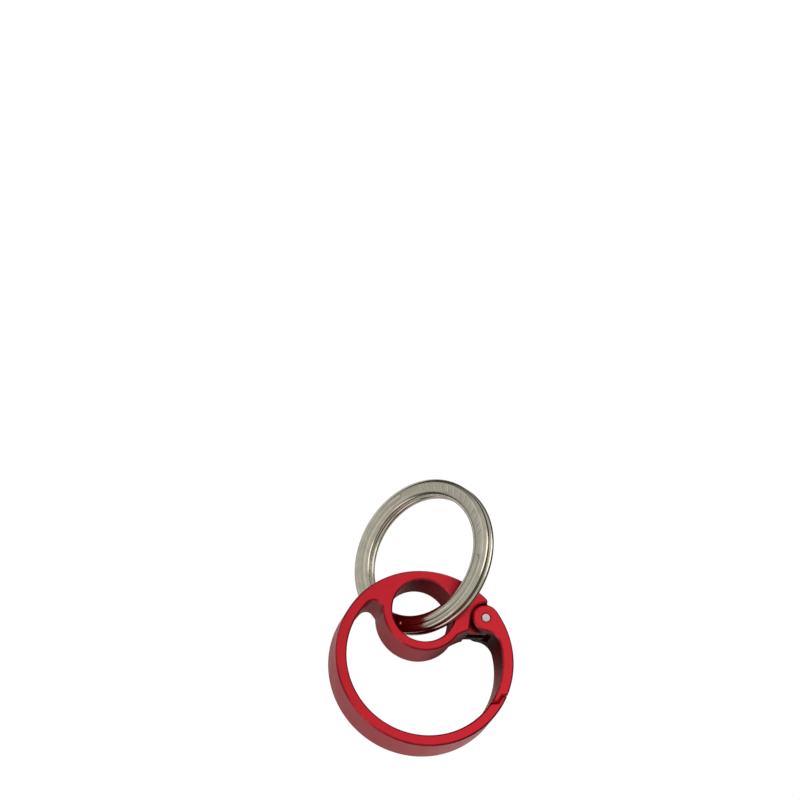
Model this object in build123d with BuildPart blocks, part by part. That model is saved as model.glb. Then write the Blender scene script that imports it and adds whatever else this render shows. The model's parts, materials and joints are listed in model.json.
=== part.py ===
from build123d import *
import math
import os

# Carabiner keyring: a round aluminium carabiner with an eye, a sprung gate on a pin,
# and a two-turn split ring through the eye.
# Millimetres. Origin at the centre of the round frame, half way through its thickness.
# +Y runs from the centre through the eye, and +Z is the frame's axis.

# ---------- driving dimensions ----------
outer_radius = 20.0           # the round outline, frame and gate together
band_width = 2.5              # radial width of the hoop
thickness = 9.6               # along Z
edge_break = 0.35             # chamfer on the front and back edges

eye_y = 10.85                 # centre of the split ring's eye
eye_radius = 7.05
boss_radius = 9.2             # wall round the eye
horn_radius = 2.0             # round end of the main opening, left of the eye
horn_corner = (-10.2, 13.3)   # where the boss would meet the hoop without it
shoulder_points = [(3.2, 2.55), (5.2, 3.78), (7.2, 5.25), (9.3, 6.32)]
shoulder_start_x = 0.6        # where the shoulder leaves the boss
shoulder_end_x = 11.2         # where it runs out flat, left of the gate's head
shoulder_start_slope = 0.06
shoulder_reach = 12.0         # degrees past the pin that the shoulder fills, out to the hoop

pivot_distance = 17.0         # hinge pin's centre from the origin
pivot_angle = 34.6            # degrees from +X
head_radius = 3.0             # round end of the gate, about the pin
head_gap = 0.45               # between the gate's head and the frame
neck_radius = 3.9             # hollow between the gate's head and its arc
neck_corner = (15.9, 7.3, 0.0)
frame_end_offset = 0.5        # the frame's outer end face lies this far past the pin, along X
frame_end_y = 13.8            # outer corner of that end face
shoulder_run = 0.35           # slope of the recess beside the gate's head
shoulder_drop = 2.25
corner_radius = 0.8           # corners of the frame beside the gate's head
pin_radius = 1.0
pin_clearance = 0.05          # running fit in the frame's lugs
pin_countersink = 0.2
pin_end_chamfer = 0.15

cheek = 2.1                   # each side of the forked gate, along Z
fork_clearance = 0.1          # each side, between a cheek and the frame's tongue
fork_radius = 4.0             # depth of the fork about the pin
coil_pocket_radius = 2.1      # room for the spring inside the tongue
coil_pocket_width = 2.4

latch_gap = 0.25              # at the two end faces of the lapped joint
latch_stop_gap = 0.08         # at the sloping faces where the gate stops

spring_wire = 0.42
spring_mean_radius = 1.37
spring_pitch = 0.5
spring_turns = 3
leg_angle = 25.0              # degrees between the spring's two legs
frame_leg = 3.1
gate_leg = 4.4
leg_roof_gap = 0.04           # between the frame's leg and the pocket's roof
leg_end_gap = 0.5             # beyond the frame's leg, inside the pocket
leg_hole_clearance = 0.06
leg_hole_depth = 1.2
leg_tip_gap = 0.15            # beyond the gate's leg, inside its hole

ring_outer_radius = 17.92
ring_inner_radius = 14.0
coil_thickness = 1.72
seam_gap = 0.05               # between the ring's two turns
coil_round = 0.7
groove_width = 0.85
groove_depth = 0.2
pad_start = -13.0             # plain pad on the ring's front turn, degrees round the ring
pad_end = 110.0
ramp_start = 212.0            # where the wire crosses from the back turn to the front one
ramp_end = 248.0
ramp_steps = 6
groove_end_gap = 6.0          # degrees from the crossing to a groove's round end
coil_end_gap = 1.5            # degrees from a turn's cut end to the crossing
ring_centre = (1.22, 24.68, 0.0)
ring_twist = 45.6             # turn of the ring out of the frame's plane, about Y
ring_tilt = 4.1

# ---------- derived sizes ----------
inner_radius = outer_radius - band_width
half = thickness / 2
head_cutout = head_radius + head_gap
fork_half = half - cheek
tongue_half = fork_half - fork_clearance
pocket_half = coil_pocket_width / 2


def polar(radius, degrees, centre=(0.0, 0.0)):
    """Point at a radius and an angle from a centre."""
    turn = math.radians(degrees)
    return (centre[0] + radius * math.cos(turn), centre[1] + radius * math.sin(turn))


pivot = polar(pivot_distance, pivot_angle)
eye = (0.0, eye_y)
far = 2 * outer_radius        # well outside the outline
overlap = 0.02                # by which outlines run into each other where they join
same_place = 0.05             # edges closer together than this share a place
same_size = 0.001             # lengths closer than this are equal
far_side_angle = 70.0         # degrees from +X, inside the hoop beyond the eye

# Lapped joint between the gate's tip and the frame's nose, from outside the hoop to
# inside it. The sloping middle face is the gate's stop, so the gate swings only inwards.
latch_outer = (19.42, -7.93)
latch_upper = (17.17, -8.20)
latch_lower = (16.14, -9.63)
latch_inner = (13.68, -9.99)


def latch_line(end_shift, stop_shift):
    """Joint line, its end faces moved along Y and its slope moved along X."""
    return [
        (far, latch_outer[1] + end_shift),
        (latch_outer[0], latch_outer[1] + end_shift),
        (latch_upper[0] + stop_shift, latch_upper[1] + end_shift),
        (latch_lower[0] + stop_shift, latch_lower[1] + end_shift),
        (latch_inner[0], latch_inner[1] + end_shift),
    ]


def front_and_back_edges(part):
    """Outline edges of the two flat faces."""
    faces = part.faces().filter_by(Axis.Z)
    flat = [face for face in faces if math.isclose(abs(face.center().Z), half, abs_tol=same_size)]
    return ShapeList([edge for face in flat for edge in face.edges()])


def vertical_edge_at(part, x, y):
    """The upright edges nearest to a place in the outline."""
    upright = part.edges().filter_by(Axis.Z)
    nearest = min(math.dist((edge.center().X, edge.center().Y), (x, y)) for edge in upright)
    reach = nearest + same_place
    return ShapeList(
        [edge for edge in upright if math.dist((edge.center().X, edge.center().Y), (x, y)) < reach]
    )


# ---------- frame ----------
frame_end_x = pivot[0] + frame_end_offset
recess_left = pivot[0] - head_cutout
shoulder_x = recess_left - shoulder_run
tongue_floor = pivot[1] - head_radius
leg_roof = pivot[1] - spring_mean_radius + spring_wire / 2 + leg_roof_gap
leg_pocket_x = pivot[0] - frame_leg - leg_end_gap

with BuildPart() as frame:
    # Hoop, boss round the eye, and the shoulder that carries the hinge.
    with BuildSketch(Plane.XY.offset(-half)):
        Circle(outer_radius)
        Circle(inner_radius, mode=Mode.SUBTRACT)
        with Locations(eye):
            Circle(boss_radius)
        with BuildLine():
            shoulder = Spline(
                (shoulder_start_x, eye_y - boss_radius + overlap),
                *shoulder_points,
                (shoulder_end_x, tongue_floor),
                tangents=[(1, shoulder_start_slope), (1, 0)],
            )
            Polyline(
                shoulder @ 1,
                (pivot[0], tongue_floor),
                pivot,
                polar(far, pivot_angle + shoulder_reach),
                polar(far, far_side_angle),
                eye,
                shoulder @ 0,
            )
        make_face()
        Circle(outer_radius, mode=Mode.INTERSECT)
        with Locations(eye):
            Circle(eye_radius, mode=Mode.SUBTRACT)
        # Room for the gate's arc, from the hinge down to the latch.
        with BuildLine():
            Polyline(
                (0, 0),
                (pivot[0] - pin_radius, tongue_floor - overlap),
                pivot,
                (far, pivot[1]),
                *latch_line(-latch_gap / 2, latch_stop_gap / 2),
                close=True,
            )
        make_face(mode=Mode.SUBTRACT)
        with Locations(pivot):
            Circle(head_radius)
    extrude(amount=thickness)

    # Recesses for the gate's two cheeks leave the tongue between them.
    for side in (1, -1):
        with BuildSketch(Plane.XY.offset(side * tongue_half)):
            with Locations(pivot):
                Circle(head_cutout)
            with BuildLine():
                Polyline(
                    (recess_left, pivot[1]),
                    (shoulder_x, pivot[1] - shoulder_drop),
                    (shoulder_x, 0),
                    (far, 0),
                    (far, outer_radius),
                    (frame_end_x, outer_radius),
                    (frame_end_x, pivot[1]),
                    close=True,
                )
            make_face()
        extrude(amount=side * thickness, mode=Mode.SUBTRACT)

    # Round end of the main opening, and the corners beside the gate's head.
    fillet(vertical_edge_at(frame, *horn_corner), radius=horn_radius)
    fillet(vertical_edge_at(frame, frame_end_x, frame_end_y), radius=corner_radius)
    fillet(vertical_edge_at(frame, shoulder_x, tongue_floor), radius=corner_radius)
    chamfer(front_and_back_edges(frame), length=edge_break)

    # Bore for the pin and the pocket for the spring, open below for its leg.
    with BuildSketch(Plane.XY.offset(-half)):
        with Locations(pivot):
            Circle(pin_radius + pin_clearance)
    extrude(amount=thickness, mode=Mode.SUBTRACT)
    with BuildSketch(Plane.XY.offset(-pocket_half)):
        with Locations(pivot):
            Circle(coil_pocket_radius)
        with BuildLine():
            Polyline(
                (leg_pocket_x, leg_roof),
                (leg_pocket_x, 0),
                (far, 0),
                (far, pivot[1] + coil_pocket_radius),
                (pivot[0], pivot[1] + coil_pocket_radius),
                (pivot[0], leg_roof),
                close=True,
            )
        make_face()
    extrude(amount=coil_pocket_width, mode=Mode.SUBTRACT)

# The spring's coil, about the pin. Its legs run on straight from both ends.
coil_height = spring_pitch * (spring_turns - leg_angle / 360)
coil = Pos(*pivot, -coil_height / 2) * Rot(0, 0, -90) * Helix(
    pitch=spring_pitch, height=coil_height, radius=spring_mean_radius
)
frame_leg_end = coil @ 0 - (coil % 0) * frame_leg
gate_leg_end = coil @ 1 + (coil % 1) * gate_leg

# ---------- gate ----------
with BuildPart() as gate:
    with BuildSketch(Plane.XY.offset(-half)) as gate_outline:
        Circle(outer_radius)
        Circle(inner_radius, mode=Mode.SUBTRACT)
        with BuildLine():
            Polyline(
                (0, 0),
                pivot,
                polar(far, pivot_angle),
                (far, 0),
                *latch_line(latch_gap / 2, -latch_stop_gap / 2),
                close=True,
            )
        make_face(mode=Mode.INTERSECT)
        with Locations(pivot):
            Circle(head_radius)
        neck = gate_outline.vertices().sort_by_distance(neck_corner)[0]
        fillet(neck, radius=neck_radius)
    extrude(amount=thickness)
    chamfer(front_and_back_edges(gate), length=edge_break)

    # Fork between the cheeks, and the holes that grip the pin.
    with BuildSketch(Plane.XY.offset(-fork_half)):
        with Locations(pivot):
            Circle(fork_radius)
    extrude(amount=2 * fork_half, mode=Mode.SUBTRACT)
    with BuildSketch(Plane.XY.offset(-half)):
        with Locations(pivot):
            Circle(pin_radius)
    extrude(amount=thickness, mode=Mode.SUBTRACT)
    rims = front_and_back_edges(gate).filter_by(GeomType.CIRCLE)
    rims = [edge for edge in rims if math.isclose(edge.radius, pin_radius, abs_tol=same_size)]
    chamfer(rims, length=pin_countersink)
    leg_hole = Plane(origin=gate_leg_end + (coil % 1) * leg_tip_gap, z_dir=-(coil % 1))
    with BuildSketch(leg_hole):
        Circle(spring_wire / 2 + leg_hole_clearance)
    extrude(amount=leg_hole_depth, mode=Mode.SUBTRACT)

# ---------- hinge pin ----------
with BuildPart() as hinge_pin:
    with BuildSketch(Plane.XY.offset(-half)):
        with Locations(pivot):
            Circle(pin_radius)
    extrude(amount=thickness)
    chamfer(hinge_pin.edges().filter_by(GeomType.CIRCLE), length=pin_end_chamfer)

# ---------- gate spring ----------
# A torsion spring: one leg lies under the pocket's roof in the frame, and the other
# ends in a small hole in the gate's fork, which it pushes shut.
with BuildPart() as gate_spring:
    with BuildLine() as spring_path:
        Line(frame_leg_end, coil @ 0)
        add(coil)
        Line(coil @ 1, gate_leg_end)
    with BuildSketch(spring_path.wires()[0] ^ 0):
        Circle(spring_wire / 2)
    sweep(path=spring_path.wires()[0])

# ---------- split ring ----------
twist = math.radians(ring_twist)
tilt = math.radians(ring_tilt)
ring_axis_dir = (
    -math.sin(twist) * math.cos(tilt),
    math.sin(tilt),
    math.cos(twist) * math.cos(tilt),
)
ring_plane = Plane(
    origin=ring_centre, x_dir=(math.cos(twist), 0, math.sin(twist)), z_dir=ring_axis_dir
)
ring_axis = Axis(ring_plane.origin, ring_plane.z_dir)
wire_width = ring_outer_radius - ring_inner_radius
wire_radius = (ring_outer_radius + ring_inner_radius) / 2
coil_lift = (coil_thickness + seam_gap) / 2
face_lift = coil_lift + coil_thickness / 2
turn_angle = 360 - (ramp_end - ramp_start)
groove_cutter = (groove_depth**2 + (groove_width / 2) ** 2) / (2 * groove_depth)


def section_plane(angle, lift):
    """Plane across the ring's wire: X away from the ring's centre, Y along its axis."""
    spoke = ring_plane.x_dir.rotate(Axis((0, 0, 0), ring_plane.z_dir), angle)
    centre = ring_plane.origin + spoke * wire_radius + ring_plane.z_dir * lift
    return Plane(origin=centre, x_dir=spoke, z_dir=spoke.cross(ring_plane.z_dir))


def groove_centre(angle, side):
    """Centre of the round cutter that leaves the groove on an outer face."""
    cutter_lift = side * (face_lift + groove_cutter - groove_depth)
    return section_plane(angle, cutter_lift)


with BuildPart() as split_ring:
    # The two turns, each flat for most of its length.
    for side in (-1, 1):
        start = ramp_end + coil_end_gap if side < 0 else ramp_end
        with BuildSketch(section_plane(start, side * coil_lift)):
            RectangleRounded(wire_width, coil_thickness, coil_round)
        revolve(axis=ring_axis, revolution_arc=turn_angle - coil_end_gap)
    # The crossing from the back turn up to the front one.
    for step in range(ramp_steps + 1):
        share = step / ramp_steps
        rise = share * share * (3 - 2 * share)
        angle = ramp_start + share * (ramp_end - ramp_start)
        with BuildSketch(section_plane(angle, (2 * rise - 1) * coil_lift)):
            RectangleRounded(wire_width, coil_thickness, coil_round)
    loft()
    # Round-ended grooves along the outer faces, broken by the pad on the front turn.
    groove_runs = [
        (1, pad_end, ramp_start - groove_end_gap),
        (1, ramp_end + groove_end_gap, 360 + pad_start),
        (-1, ramp_end + groove_end_gap, 360 + ramp_start - groove_end_gap),
    ]
    for side, first, last in groove_runs:
        with BuildSketch(groove_centre(first, side)):
            Circle(groove_cutter)
        revolve(axis=ring_axis, revolution_arc=last - first, mode=Mode.SUBTRACT)
        with Locations(groove_centre(first, side), groove_centre(last, side)):
            Sphere(groove_cutter, mode=Mode.SUBTRACT)

# ---------- output ----------
os.makedirs("parts", exist_ok=True)
frame.part.label = "frame"
export_step(frame.part, "parts/frame.step")
gate.part.label = "gate"
export_step(gate.part, "parts/gate.step")
hinge_pin.part.label = "hinge_pin"
export_step(hinge_pin.part, "parts/hinge_pin.step")
gate_spring.part.label = "gate_spring"
export_step(gate_spring.part, "parts/gate_spring.step")
split_ring.part.label = "split_ring"
export_step(split_ring.part, "parts/split_ring.step")
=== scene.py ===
import bmesh
import bpy
import json
import math
from mathutils import Matrix, Vector


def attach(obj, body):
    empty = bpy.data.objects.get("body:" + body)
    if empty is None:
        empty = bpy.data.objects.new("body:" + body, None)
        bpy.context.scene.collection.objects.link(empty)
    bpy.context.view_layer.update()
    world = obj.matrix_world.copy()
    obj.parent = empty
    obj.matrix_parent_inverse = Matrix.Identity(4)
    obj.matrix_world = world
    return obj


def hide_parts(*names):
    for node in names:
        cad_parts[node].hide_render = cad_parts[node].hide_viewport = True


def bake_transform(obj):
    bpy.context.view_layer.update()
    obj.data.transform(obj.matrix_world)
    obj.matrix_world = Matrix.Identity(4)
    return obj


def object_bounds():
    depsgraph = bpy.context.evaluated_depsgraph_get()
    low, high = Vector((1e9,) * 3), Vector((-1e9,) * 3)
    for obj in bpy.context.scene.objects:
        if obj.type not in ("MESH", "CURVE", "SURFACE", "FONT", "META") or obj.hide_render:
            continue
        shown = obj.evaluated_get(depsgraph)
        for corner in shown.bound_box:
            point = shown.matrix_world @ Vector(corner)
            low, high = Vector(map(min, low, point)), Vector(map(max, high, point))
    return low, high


# Looks for the carabiner keyring: a satin red anodised frame and gate, a ground steel pin,
# a drawn wire spring and a nickel-plated split ring. Metres, in the CAD's frame.

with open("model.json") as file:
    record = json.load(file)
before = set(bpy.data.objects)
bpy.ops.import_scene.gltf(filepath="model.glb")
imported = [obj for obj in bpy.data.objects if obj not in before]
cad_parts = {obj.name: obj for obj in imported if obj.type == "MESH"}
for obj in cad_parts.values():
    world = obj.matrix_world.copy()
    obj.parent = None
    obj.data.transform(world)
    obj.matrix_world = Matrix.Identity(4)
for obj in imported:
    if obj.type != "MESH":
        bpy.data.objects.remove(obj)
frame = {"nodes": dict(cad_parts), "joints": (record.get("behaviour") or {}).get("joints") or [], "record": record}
cad_box = [list(corner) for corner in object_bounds()]
scene = bpy.context.scene
MM = 0.001


def colour(red, green, blue):
    return (red, green, blue, 1.0)


# ---------- sizes that the pieces share with the CAD ----------
HALF_THICKNESS = 4.8 * MM
EDGE_BREAK = 0.35 * MM

RING_OUTER = 17.92 * MM
RING_INNER = 14.0 * MM
WIRE_THICKNESS = 1.72 * MM
SEAM_GAP = 0.05 * MM
TURN = 360.0                  # degrees
FRONT_ZERO = 2 * TURN         # degrees along the wire to the front turn's angle 0
CROSSING = (212.0, 248.0)     # degrees, where the wire climbs from the back turn to the front
CUT_GAP = 1.5                 # degrees from a cut end to the crossing
GROOVE_GAP = 6.0              # degrees from the crossing to a groove's end
PAD = (-13.0, 110.0)          # degrees, where the front turn has no groove

SPRING_WIRE = 0.42 * MM
SPRING_RADIUS = 1.37 * MM     # of the coil's centre line
SPRING_PITCH = 0.5 * MM
SPRING_TURNS = 3
SPRING_LEG_ANGLE = 25.0       # degrees short of whole turns, between the legs
SPRING_START = -90.0          # degrees from +X to the frame leg's end of the coil
SPRING_FRAME_LEG = 3.1 * MM
SPRING_GATE_LEG = 4.4 * MM

# ---------- detail of the ring and spring meshes ----------
SECTION_POWER = 2.8           # 2 is an ellipse, and a high power is a rectangle
SECTION_STEP = 0.1 * MM       # between points across a face of the wire
SECTION_STEPS = 13            # from the middle of a face towards each rounded side
SIDE_ANGLES = range(-44, 45, 8)   # degrees, of the points round a rounded side
END_ROUNDING = 0.3 * MM
PATH_STEP = 1.0               # degrees between sections of the wire
FINE_STEP = 0.4               # and the same near its details
FINE_MARGIN = 2.5
CARVED_HALF_WIDTH = 1.0 * MM  # grooves and ticks stay this near the middle of a face
GROOVE_HALF_WIDTH = 0.38 * MM
GROOVE_DEPTH = 0.19 * MM
GROOVE_SLOPE = 0.18 * MM
TICKS = 13                    # plain slanted marks on the pad
TICK_SPAN = (8.0, 89.0)       # degrees
TICK_LENGTH = 1.25 * MM
TICK_HALF_WIDTH = 0.13 * MM
TICK_DEPTH = 0.07 * MM
TICK_LEAN = math.radians(62.0)
SPRING_STEPS_A_TURN = 72
SPRING_LEG_STEPS = 6
SPRING_SIDES = 20
HEADING_STEP = 0.001          # turns to each side, when the coil's heading is measured

# ---------- camera ----------
AIM = Vector((-3.3, 61.6, 0.0)) * MM
DISTANCE = 0.9026
AZIMUTH = math.radians(-29.6)
ELEVATION = math.radians(67.2)
ROLL = math.radians(30.3)
LENS_MM = 180.0
SENSOR_MM = 36.0
CLIP_START = 0.01

# ---------- light ----------
OBJECT_MIDDLE = Vector((0.0, 11.5, 0.0)) * MM
WORLD_LEVELS = ((0.0, 0.05), (0.7, 0.62))   # brightness at the horizon and well above it
WORLD_TINT = (1.0, 0.98, 0.95)
SOFTBOXES = {                 # azimuth, elevation, distance, size, watts
    "overhead": (105.0, 57.0, 0.36, 0.36, 0.4),
    "left_box": (-116.0, 12.0, 0.6, 0.4, 0.175),
    "right_strip": (108.0, 17.0, 0.5, 0.14, 0.07),
    "front_fill": (-48.0, 24.0, 0.6, 0.36, 0.2),
}

# ---------- floor, backdrop and the card that lights the object from below ----------
FLOOR_GAP = 0.4 * MM
STAGE_SIZE = 2.5
SHEET_SEGMENTS = 8
ROUND_SEGMENTS = 64
PAPER_COLOUR = colour(0.5, 0.5, 0.5)
PAPER_GLOW = colour(1.0, 1.0, 1.0)
PAPER_GLOW_STRENGTH = 1.0
CARD_RADIUS = 0.11
CARD_FADE = (20.0 * MM, 42.0 * MM)          # along X, where the card darkens to the right
CARD_FADE_LEVEL = 0.08
SHADE_CENTRE = (8.8 * MM, 9.5 * MM, 0.0)    # between the eye and the hinge
SHADE_REACH = (5.0 * MM, 14.5 * MM)
SHADE_LEVELS = (0.04, 0.95)

# ---------- materials ----------
RED_DEEP = colour(0.40, 0.008, 0.016)
RED_BRIGHT = colour(0.46, 0.010, 0.020)
# paler broken edges: wear, and a painted highlight on the chamfers
RED_WORN_AND_HIGHLIT = colour(0.66, 0.05, 0.07)
# painted shade, for sheltered places and the walls under the hinge
RED_PAINTED_SHADE = colour(0.04, 0.001, 0.002)
NICKEL_LIGHT = colour(0.63, 0.595, 0.495)
NICKEL_DARK = colour(0.55, 0.525, 0.425)
STEEL_LIGHT = colour(0.46, 0.43, 0.40)
STEEL_DARK = colour(0.38, 0.355, 0.33)
CLOUD_SPAN = (0.3, 0.7)       # of a noise, from one colour to the other
PLAIN_DETAIL = 2.0            # octaves of a noise
MORE_DETAIL = 3.0
MOST_DETAIL = 4.0

PATCH_SIZE = 3.0 * MM
GRAIN_SIZE = 0.11 * MM
GRAIN_DEPTH = 0.006 * MM
BRUSH_SIZE = 0.5 * MM
BRUSH_STRETCH = (1.0, 1.0, 0.05)
BRUSH_DEPTH = 0.004 * MM
CHIP_SIZE = 0.7 * MM
CHIP_CRISPNESS = 0.65
CHIP_SPAN = (0.35, 0.75)
CHIP_LEAST = 0.35             # share of wear left where an edge is least worn
EDGE_ZONE = (HALF_THICKNESS - 1.3 * EDGE_BREAK, HALF_THICKNESS - 0.9 * EDGE_BREAK)
EDGE_LEAN = (0.97, 0.9)       # flatness of a normal, from no broken edge to a broken edge
RED_ROUGHNESS = (0.36, 0.44)
ROUGHNESS_SPAN = (0.25, 0.75)
EDGE_POLISH = 0.1
# ambient occlusion that paints shade into the dye colour
AO_SHADE_REACH = 6.5 * MM
AO_SHADE_SPAN = (0.25, 0.75)   # how open a place is, from full painted shade to the plain dye
AO_SHADE_SAMPLES = 8
HINGE_SHADE_CENTRE = (13.1 * MM, 6.0 * MM, 0.0)   # painted shade on the walls under the hinge
HINGE_SHADE_REACH = (5.6 * MM, 2.8 * MM)
UPRIGHT_LEAN = (0.8, 0.3)     # flatness of a normal, from a face to a wall
COAT_WEIGHT = 0.14
COAT_ROUGHNESS = 0.3
COAT_IOR = 1.6

CLOUD_SIZE = 2.2 * MM
HAIR_SIZE = 0.08 * MM
HAIR_STRETCH = 0.03
HAIR_CRISPNESS = 0.7
GRIND_SIZE = 0.09 * MM
GRIND_STRETCH = (1.0, 0.08, 0.4)
PEEL_SIZE = 0.8 * MM
PEEL_DEPTH = 0.012 * MM
NICKEL_ROUGHNESS = (0.1, 0.17)
NICKEL_SCRATCH_DEPTH = 0.001 * MM
STEEL_ROUGHNESS = (0.28, 0.4)
STEEL_SCRATCH_DEPTH = 0.002 * MM


def outward_from(azimuth, elevation):
    """Direction from the object, at angles in radians. Azimuth 0 is towards -Y."""
    return Vector((
        math.sin(azimuth) * math.cos(elevation),
        -math.cos(azimuth) * math.cos(elevation),
        math.sin(elevation),
    ))


def add_camera():
    """The camera at the photograph's angle, rolled about its own axis."""
    back = outward_from(AZIMUTH, ELEVATION)
    data = bpy.data.cameras.new("camera")
    data.lens = LENS_MM
    data.sensor_width = SENSOR_MM
    data.clip_start = CLIP_START
    camera = bpy.data.objects.new("camera", data)
    turn = back.to_track_quat("Z", "Y").to_matrix() @ Matrix.Rotation(ROLL, 3, "Z")
    camera.matrix_world = Matrix.Translation(AIM + back * DISTANCE) @ turn.to_4x4()
    scene.collection.objects.link(camera)
    scene.camera = camera


# ---------- node helpers ----------
class Nodes:
    """Adds and links the nodes of one material."""

    def __init__(self, name):
        self.material = bpy.data.materials.new(name)
        self.material.use_nodes = True
        self.tree = self.material.node_tree
        self.shader = self.tree.nodes["Principled BSDF"]

    def add(self, kind, settings=None, **inputs):
        """A node of a kind. Inputs are values, or output sockets to link."""
        node = self.tree.nodes.new(kind)
        for key, value in (settings or {}).items():
            setattr(node, key, value)
        for key, value in inputs.items():
            self.set(node.inputs[key.replace("_", " ")], value)
        return node

    def set(self, socket, value):
        """Links an output socket to an input, or gives the input a value."""
        if isinstance(value, bpy.types.NodeSocket):
            self.tree.links.new(value, socket)
        else:
            socket.default_value = value

    def place(self):
        """The place on the object, in the object's own space."""
        return self.add("ShaderNodeTexCoord").outputs["Object"]

    def maths(self, operation, first, second=0.0):
        """One operation on one or two values."""
        node = self.tree.nodes.new("ShaderNodeMath")
        node.operation = operation
        self.set(node.inputs[0], first)
        self.set(node.inputs[1], second)
        return node.outputs[0]

    def distance(self, place, centre):
        """The distance in metres from a place to a centre."""
        node = self.add("ShaderNodeVectorMath", {"operation": "DISTANCE"})
        self.set(node.inputs[0], place)
        self.set(node.inputs[1], centre)
        return node.outputs["Value"]

    def span(self, value, low, high, to_low=0.0, to_high=1.0):
        """Maps a value between two limits, smoothly and clamped."""
        node = self.tree.nodes.new("ShaderNodeMapRange")
        node.interpolation_type = "SMOOTHSTEP"
        for socket, number in zip(node.inputs, (value, low, high, to_low, to_high)):
            self.set(socket, number)
        return node.outputs[0]

    def noise(self, size, detail=PLAIN_DETAIL, stretch=(1.0, 1.0, 1.0), roughness=0.5):
        """Noise in the object's own space, its grain about `size` metres across."""
        scaled = self.add("ShaderNodeMapping", Vector=self.place(), Scale=stretch).outputs[0]
        node = self.add(
            "ShaderNodeTexNoise",
            Vector=scaled, Scale=1.0 / size, Detail=detail, Roughness=roughness,
        )
        return node.outputs["Fac"]

    def blend(self, share, first, second):
        """Mixes two colours by a share."""
        node = self.tree.nodes.new("ShaderNodeMix")
        node.data_type = "RGBA"
        # The node has sockets for every data type. These are the share's and the colours'.
        for index, value in ((0, share), (6, first), (7, second)):
            self.set(node.inputs[index], value)
        return node.outputs[2]

    def bump(self, height, distance, below=None):
        """A bump of a depth in metres, on top of the one below it."""
        node = self.add("ShaderNodeBump", Height=height, Distance=distance, Strength=1.0)
        if below is not None:
            self.set(node.inputs["Normal"], below)
        return node.outputs[0]


# ---------- materials ----------
def anodised(name):
    """Satin red anodised aluminium: blasted grain, patchy dye, paler broken edges (wear and a painted highlight),
    painted shade in sheltered places and under the hinge.
    """
    n = Nodes(name)
    patches = n.noise(PATCH_SIZE, detail=MORE_DETAIL)
    grain = n.noise(GRAIN_SIZE)
    brushed = n.noise(BRUSH_SIZE, detail=MORE_DETAIL, stretch=BRUSH_STRETCH)
    place = n.place()
    normal = n.add("ShaderNodeNewGeometry").outputs["True Normal"]
    facing = n.add("ShaderNodeSeparateXYZ", Vector=normal)
    height = n.maths("ABSOLUTE", n.add("ShaderNodeSeparateXYZ", Vector=place).outputs["Z"])
    flatness = n.maths("ABSOLUTE", facing.outputs["Z"])

    # The broken edges are the only faces that lean between flat and upright up there.
    broken = n.maths("MULTIPLY", n.span(height, *EDGE_ZONE), n.span(flatness, *EDGE_LEAN))
    wear = n.noise(CHIP_SIZE, detail=MOST_DETAIL, roughness=CHIP_CRISPNESS)
    chips = n.span(wear, *CHIP_SPAN, CHIP_LEAST, 1.0)
    edge = n.maths("MULTIPLY", broken, chips)

    # Painted shade: sheltered places (ambient occlusion) and the walls under the hinge are darkened in the dye
    # colour.
    ao_shade = n.add(
        "ShaderNodeAmbientOcclusion", {"samples": AO_SHADE_SAMPLES}, Distance=AO_SHADE_REACH
    )
    open_air = n.span(ao_shade.outputs["AO"], *AO_SHADE_SPAN)
    flat_place = n.add("ShaderNodeMapping", Vector=place, Scale=(1.0, 1.0, 0.0)).outputs[0]
    near_hinge = n.span(n.distance(flat_place, HINGE_SHADE_CENTRE), *HINGE_SHADE_REACH)
    hinge_shade = n.maths("MULTIPLY", near_hinge, n.span(flatness, *UPRIGHT_LEAN))
    unshaded = n.maths("MULTIPLY", open_air, n.maths("SUBTRACT", 1.0, hinge_shade))

    dye = n.blend(n.span(patches, *CLOUD_SPAN), RED_DEEP, RED_BRIGHT)
    # The dye colour takes the painted shade here.
    dye = n.blend(unshaded, RED_PAINTED_SHADE, dye)
    # Broken edges are paler: partly wear, partly a painted highlight on the chamfers.
    n.set(n.shader.inputs["Base Color"], n.blend(edge, dye, RED_WORN_AND_HIGHLIT))
    rough = n.span(patches, *ROUGHNESS_SPAN, *RED_ROUGHNESS)
    polish = n.maths("MULTIPLY", edge, EDGE_POLISH)
    n.set(n.shader.inputs["Roughness"], n.maths("SUBTRACT", rough, polish))
    fine = n.bump(grain, GRAIN_DEPTH)
    n.set(n.shader.inputs["Normal"], n.bump(brushed, BRUSH_DEPTH, below=fine))
    n.shader.inputs["Metallic"].default_value = 1.0
    n.shader.inputs["Coat Weight"].default_value = COAT_WEIGHT
    n.shader.inputs["Coat Roughness"].default_value = COAT_ROUGHNESS
    n.shader.inputs["Coat IOR"].default_value = COAT_IOR
    return n.material


def wire_hairs(n):
    """Hairlines that follow the ring's wire, from the attributes of its mesh."""
    along = n.add("ShaderNodeAttribute", {"attribute_name": "along"}).outputs["Fac"]
    across = n.add("ShaderNodeAttribute", {"attribute_name": "across"}).outputs["Fac"]
    place = n.add("ShaderNodeCombineXYZ", X=n.maths("MULTIPLY", along, HAIR_STRETCH), Y=across)
    hairs = n.add(
        "ShaderNodeTexNoise",
        Vector=place.outputs[0], Scale=1.0 / HAIR_SIZE,
        Detail=MORE_DETAIL, Roughness=HAIR_CRISPNESS,
    )
    return hairs.outputs["Fac"]


def ground_hairs(n):
    """Short scratches in one direction, as grinding leaves."""
    return n.noise(GRIND_SIZE, MORE_DETAIL, GRIND_STRETCH, HAIR_CRISPNESS)


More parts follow.
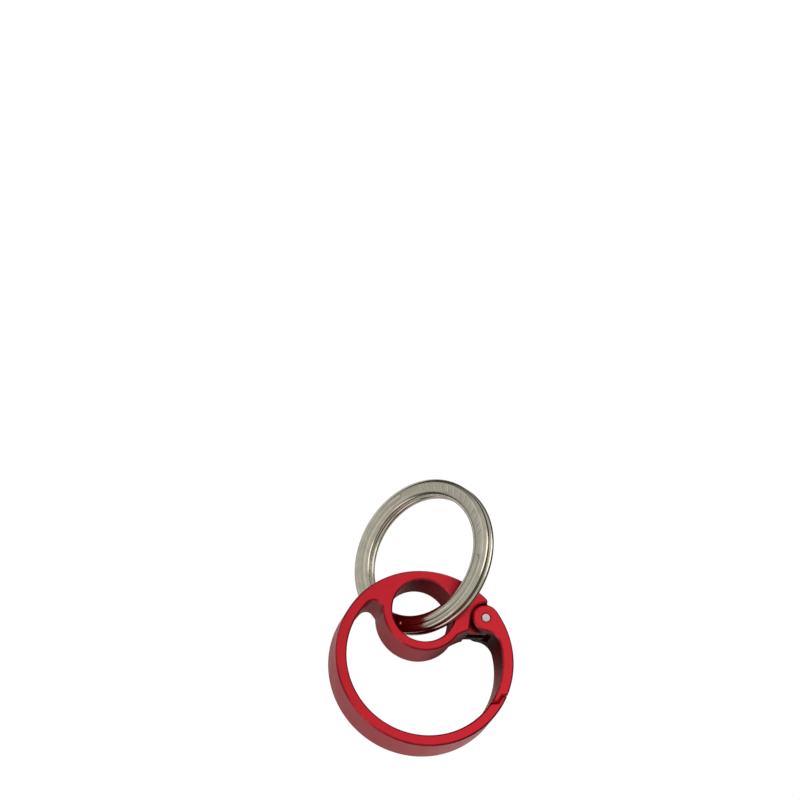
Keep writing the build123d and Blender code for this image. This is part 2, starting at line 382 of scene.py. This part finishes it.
def bare_metal(name, light, dark, roughness, hairs, scratch_depth):
    """Bare or plated steel with faint clouding, hairline scratches and orange peel."""
    n = Nodes(name)
    clouds = n.noise(CLOUD_SIZE, detail=MOST_DETAIL)
    scratches = hairs(n)
    peel = n.noise(PEEL_SIZE)
    n.set(n.shader.inputs["Base Color"], n.blend(n.span(clouds, *CLOUD_SPAN), light, dark))
    n.set(n.shader.inputs["Roughness"], n.span(clouds, *CLOUD_SPAN, *roughness))
    soft = n.bump(peel, PEEL_DEPTH)
    n.set(n.shader.inputs["Normal"], n.bump(scratches, scratch_depth, below=soft))
    n.shader.inputs["Metallic"].default_value = 1.0
    return n.material


# ---------- split ring ----------
def smooth_step(value, low, high):
    """Rises smoothly from 0 at `low` to 1 at `high`. It falls if `low` is the higher one."""
    share = min(1.0, max(0.0, (value - low) / (high - low)))
    return share * share * (3.0 - 2.0 * share)


def wire_section():
    """Points (outward, upward) round the ring wire's domed section."""
    half_width = (RING_OUTER - RING_INNER) / 2
    half_height = WIRE_THICKNESS / 2

    def side_point(angle):
        """A place on the rounded side at an angle from straight outward."""
        c, s = math.cos(angle), math.sin(angle)
        reach = (abs(c) ** SECTION_POWER + abs(s) ** SECTION_POWER) ** (-1 / SECTION_POWER)
        return (half_width * c * reach, half_height * s * reach)

    def face_height(place):
        """Height of the domed face at a place across the wire."""
        height = (1 - abs(place / half_width) ** SECTION_POWER) ** (1 / SECTION_POWER)
        return half_height * height

    across = [SECTION_STEP * step for step in range(-SECTION_STEPS, SECTION_STEPS + 1)]
    right = [side_point(math.radians(degrees)) for degrees in SIDE_ANGLES]
    top = [(place, face_height(place)) for place in reversed(across)]
    left = [(-x, y) for x, y in reversed(right)]
    bottom = [(place, -face_height(place)) for place in across]
    return right + top + left + bottom


def groove_depth(along, across, runs):
    """Depth of a round-ended channel that follows the wire, at a place on its face."""
    depth = 0.0
    for first, last in runs:
        beyond = max(0.0, first - along, along - last)
        away = math.hypot(beyond, across)
        edge = GROOVE_HALF_WIDTH
        depth = max(depth, smooth_step(away, edge + GROOVE_SLOPE, edge - GROOVE_SLOPE))
    return depth * GROOVE_DEPTH


def tick_depth(along, across, places):
    """Depth of the plain slanted ticks that decorate the pad."""
    depth = 0.0
    for place in places:
        run = along - place
        length = run * math.cos(TICK_LEAN) + across * math.sin(TICK_LEAN)
        side = -run * math.sin(TICK_LEAN) + across * math.cos(TICK_LEAN)
        beyond = max(0.0, abs(length) - TICK_LENGTH / 2)
        depth = max(depth, smooth_step(math.hypot(beyond, side), TICK_HALF_WIDTH, 0.0))
    return depth * TICK_DEPTH


def path_angles(start, end, fine_places):
    """Angles along the wire, closer together near its details."""
    angles = [start]
    while angles[-1] < end:
        here = angles[-1]
        near = any(low - FINE_MARGIN <= here <= high + FINE_MARGIN for low, high in fine_places)
        angles.append(min(end, here + (FINE_STEP if near else PATH_STEP)))
    return angles


def tube_faces(sections, count):
    """Faces of a closed tube of so many sections, with so many points each."""
    faces = []
    for section in range(sections - 1):
        here, ahead = section * count, (section + 1) * count
        for i in range(count):
            j = (i + 1) % count
            faces.append((here + i, here + j, ahead + j, ahead + i))
    faces.append(tuple(reversed(range(count))))
    faces.append(tuple(range((sections - 1) * count, sections * count)))
    return faces


def build_split_ring():
    """Two turns of domed wire, joined by a crossing, with grooves and a ticked pad."""
    mount = next(m for m in frame["record"]["mounts"] if m["name"] == "key_loop")
    centre = Vector(mount["pos_m"])
    axis = Vector(mount["axis"]).normalized()
    first_spoke = Vector((0.0, 1.0, 0.0)).cross(axis).normalized()
    second_spoke = axis.cross(first_spoke)
    radius = (RING_OUTER + RING_INNER) / 2
    lift = (WIRE_THICKNESS + SEAM_GAP) / 2
    per_degree = radius * math.pi / 180

    # The wire starts on the back turn, climbs after one turn, and ends on the front turn.
    start = CROSSING[1] + CUT_GAP
    end = CROSSING[0] + FRONT_ZERO - CUT_GAP
    climb = (CROSSING[0] + TURN, CROSSING[1] + TURN)
    back_groove = (CROSSING[1] + GROOVE_GAP, climb[0] - GROOVE_GAP)
    front_grooves = [
        (climb[1] + GROOVE_GAP, PAD[0] + FRONT_ZERO),
        (PAD[1] + FRONT_ZERO, CROSSING[0] + FRONT_ZERO - GROOVE_GAP),
    ]
    runs = {
        -1: [tuple(angle * per_degree for angle in back_groove)],
        1: [tuple(angle * per_degree for angle in run) for run in front_grooves],
    }
    tick_step = (TICK_SPAN[1] - TICK_SPAN[0]) / (TICKS - 1)
    first_tick, last_tick = (FRONT_ZERO + angle for angle in TICK_SPAN)
    ticks = [(first_tick + tick_step * i) * per_degree for i in range(TICKS)]
    fine = [(angle, angle) for run in (back_groove, *front_grooves) for angle in run]
    fine += [(start, start), (end, end), (first_tick, last_tick)]

    section = wire_section()
    verts, along_values, across_values = [], [], []
    angles = path_angles(start, end, fine)
    for angle in angles:
        along = angle * per_degree
        spoke_turn = math.radians(angle)
        spoke = first_spoke * math.cos(spoke_turn) + second_spoke * math.sin(spoke_turn)
        height = (2.0 * smooth_step(angle, *climb) - 1.0) * lift
        to_end = min(along - start * per_degree, end * per_degree - along)
        short = max(0.0, END_ROUNDING - to_end)
        inset = END_ROUNDING - math.sqrt(max(0.0, END_ROUNDING**2 - short**2))
        shrink = 1.0 - inset / (WIRE_THICKNESS / 2)
        for out, up in section:
            side = 1 if up > 0 else -1
            depth = 0.0
            # Only the face that looks away from the other turn is carved.
            if abs(out) < CARVED_HALF_WIDTH and (angle < climb[0]) == (side < 0):
                depth = groove_depth(along, out, runs[side])
                if side > 0:
                    depth = max(depth, tick_depth(along, out, ticks))
            carved = up - side * depth
            place = spoke * (radius + out * shrink) + axis * (height + carved * shrink)
            verts.append(centre + place)
            along_values.append(along)
            across_values.append(math.atan2(up, out) * WIRE_THICKNESS)
    ring = add_mesh("split_ring_wire", verts, tube_faces(len(angles), len(section)))
    for name, values in (("along", along_values), ("across", across_values)):
        attribute = ring.data.attributes.new(name, "FLOAT", "POINT")
        attribute.data.foreach_set("value", values)
    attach(ring, "split_ring")
    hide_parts("split_ring")
    return ring


def build_gate_spring():
    """The torsion spring. Its coil winds between the frame's leg and the gate's leg."""
    hinge = next(joint for joint in frame["joints"] if joint["name"] == "gate_hinge")
    pivot = Vector(hinge["pos_m"])
    turns = SPRING_TURNS - SPRING_LEG_ANGLE / TURN
    low = -SPRING_PITCH * turns / 2
    start = math.radians(SPRING_START)

    def coil_point(turn):
        """A place on the coil's centre line, so many turns from its start."""
        angle = start + turn * 2 * math.pi
        flat = Vector((math.cos(angle), math.sin(angle), 0.0)) * SPRING_RADIUS
        return pivot + flat + Vector((0.0, 0.0, low + turn * SPRING_PITCH))

    def heading(turn):
        """The direction in which the coil runs at a place."""
        return (coil_point(turn + HEADING_STEP) - coil_point(turn - HEADING_STEP)).normalized()

    def leg(turn, length, outward):
        """Points of the straight leg at one end of the coil, from the coil to its tip."""
        steps = [length * step / SPRING_LEG_STEPS for step in range(1, SPRING_LEG_STEPS + 1)]
        return [coil_point(turn) + heading(turn) * outward * step for step in steps]

    coil_steps = round(turns * SPRING_STEPS_A_TURN)
    path = list(reversed(leg(0.0, SPRING_FRAME_LEG, -1.0)))
    path += [coil_point(turns * step / coil_steps) for step in range(coil_steps + 1)]
    path += leg(turns, SPRING_GATE_LEG, 1.0)
    verts = []
    for i, point in enumerate(path):
        before, after = path[max(0, i - 1)], path[min(len(path) - 1, i + 1)]
        tangent = (after - before).normalized()
        side = tangent.cross(Vector((0.0, 0.0, 1.0))).normalized()
        up = side.cross(tangent)
        for step in range(SPRING_SIDES):
            turn = 2 * math.pi * step / SPRING_SIDES
            verts.append(point + (side * math.cos(turn) + up * math.sin(turn)) * SPRING_WIRE / 2)
    spring = add_mesh("gate_spring_wire", verts, tube_faces(len(path), SPRING_SIDES))
    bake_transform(spring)
    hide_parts("gate_spring")
    return spring


def add_mesh(name, verts, faces):
    """A smooth-shaded mesh object with outward normals."""
    mesh = bpy.data.meshes.new(name)
    mesh.from_pydata(verts, [], faces)
    bm = bmesh.new()
    bm.from_mesh(mesh)
    bmesh.ops.recalc_face_normals(bm, faces=bm.faces)
    bm.to_mesh(mesh)
    bm.free()
    mesh.shade_smooth()
    made = bpy.data.objects.new(name, mesh)
    scene.collection.objects.link(made)
    return made


# ---------- light ----------
def add_softbox(name, azimuth, elevation, distance, size, power):
    """A round softbox that faces the object from a direction round it."""
    outward = outward_from(math.radians(azimuth), math.radians(elevation))
    data = bpy.data.lights.new(name, "AREA")
    data.shape = "DISK"
    data.size = size
    data.energy = power
    light = bpy.data.objects.new(name, data)
    light.location = OBJECT_MIDDLE + outward * distance
    light.rotation_mode = "QUATERNION"
    light.rotation_quaternion = outward.to_track_quat("Z", "Y")
    scene.collection.objects.link(light)


def add_light():
    """A soft sky that is dark at the horizon, and the softboxes."""
    world = bpy.data.worlds.new("studio")
    world.use_nodes = True
    tree = world.node_tree
    background = tree.nodes["Background"]
    background.inputs["Strength"].default_value = 1.0
    direction = tree.nodes.new("ShaderNodeSeparateXYZ")
    tree.links.new(tree.nodes.new("ShaderNodeTexCoord").outputs["Generated"], direction.inputs[0])
    ramp = tree.nodes.new("ShaderNodeValToRGB")
    ramp.color_ramp.interpolation = "EASE"
    for stop, (height, level) in zip(ramp.color_ramp.elements, WORLD_LEVELS):
        stop.position = height
        stop.color = colour(*(level * part for part in WORLD_TINT))
    tree.links.new(direction.outputs["Z"], ramp.inputs["Fac"])
    tree.links.new(ramp.outputs["Color"], background.inputs["Color"])
    scene.world = world
    scene.view_settings.view_transform = "Standard"
    for name, settings in SOFTBOXES.items():
        add_softbox(name, *settings)


# ---------- floor and backdrop ----------
def stage_object(name, build, material, camera_only):
    """A stage piece that only the camera sees, or that only lights the object."""
    mesh = bpy.data.meshes.new(name)
    bm = bmesh.new()
    build(bm)
    bm.to_mesh(mesh)
    bm.free()
    mesh.materials.append(material)
    made = bpy.data.objects.new(name, mesh)
    made.location = (0.0, 0.0, cad_box[0][2] - FLOOR_GAP)
    for ray in ("diffuse", "glossy", "transmission", "volume_scatter", "shadow"):
        setattr(made, f"visible_{ray}", not camera_only)
    made.visible_camera = camera_only
    scene.collection.objects.link(made)


def white_paper():
    """Paper so brightly lit that it is plain white."""
    n = Nodes("white_paper")
    n.shader.inputs["Base Color"].default_value = PAPER_COLOUR
    n.shader.inputs["Specular IOR Level"].default_value = 0.0
    n.shader.inputs["Emission Color"].default_value = PAPER_GLOW
    n.shader.inputs["Emission Strength"].default_value = PAPER_GLOW_STRENGTH
    return n.material


def grey_card():
    """A pale matt card with a painted shadow below the eye and the hinge, darker towards the right."""
    n = Nodes("grey_card")
    place = n.place()
    side = n.add("ShaderNodeSeparateXYZ", Vector=place).outputs["X"]
    # Painted shadow of the object on the card, darkest between the eye and the hinge.
    spread = n.span(n.distance(place, SHADE_CENTRE), *SHADE_REACH)
    share = n.maths("MULTIPLY", spread, n.span(side, *CARD_FADE, 1.0, CARD_FADE_LEVEL))
    dark, light = (colour(level, level, level) for level in SHADE_LEVELS)
    n.set(n.shader.inputs["Base Color"], n.blend(share, dark, light))
    n.shader.inputs["Specular IOR Level"].default_value = 0.0
    return n.material


def add_stage():
    """A white floor and backdrop for the camera, and a card for the reflections."""

    def sheet(bm):
        bmesh.ops.create_grid(
            bm, x_segments=SHEET_SEGMENTS, y_segments=SHEET_SEGMENTS, size=STAGE_SIZE
        )

    def card(bm):
        bmesh.ops.create_circle(bm, cap_ends=True, segments=ROUND_SEGMENTS, radius=CARD_RADIUS)

    def dome(bm):
        bmesh.ops.create_uvsphere(
            bm, u_segments=ROUND_SEGMENTS, v_segments=ROUND_SEGMENTS // 2, radius=STAGE_SIZE
        )

    white = white_paper()
    stage_object("floor", sheet, white, True)
    stage_object("backdrop", dome, white, True)
    stage_object("bounce_floor", card, grey_card(), False)


add_camera()
add_light()
add_stage()

red = anodised("anodised_red")
nickel = bare_metal(
    "nickel_plate",
    NICKEL_LIGHT, NICKEL_DARK, NICKEL_ROUGHNESS, wire_hairs, NICKEL_SCRATCH_DEPTH,
)
steel = bare_metal(
    "ground_steel",
    STEEL_LIGHT, STEEL_DARK, STEEL_ROUGHNESS, ground_hairs, STEEL_SCRATCH_DEPTH,
)
for node, material in (("frame", red), ("gate", red), ("hinge_pin", steel)):
    mesh = frame["nodes"][node].data
    mesh.materials.clear()
    mesh.materials.append(material)
build_split_ring().data.materials.append(nickel)
build_gate_spring().data.materials.append(steel)
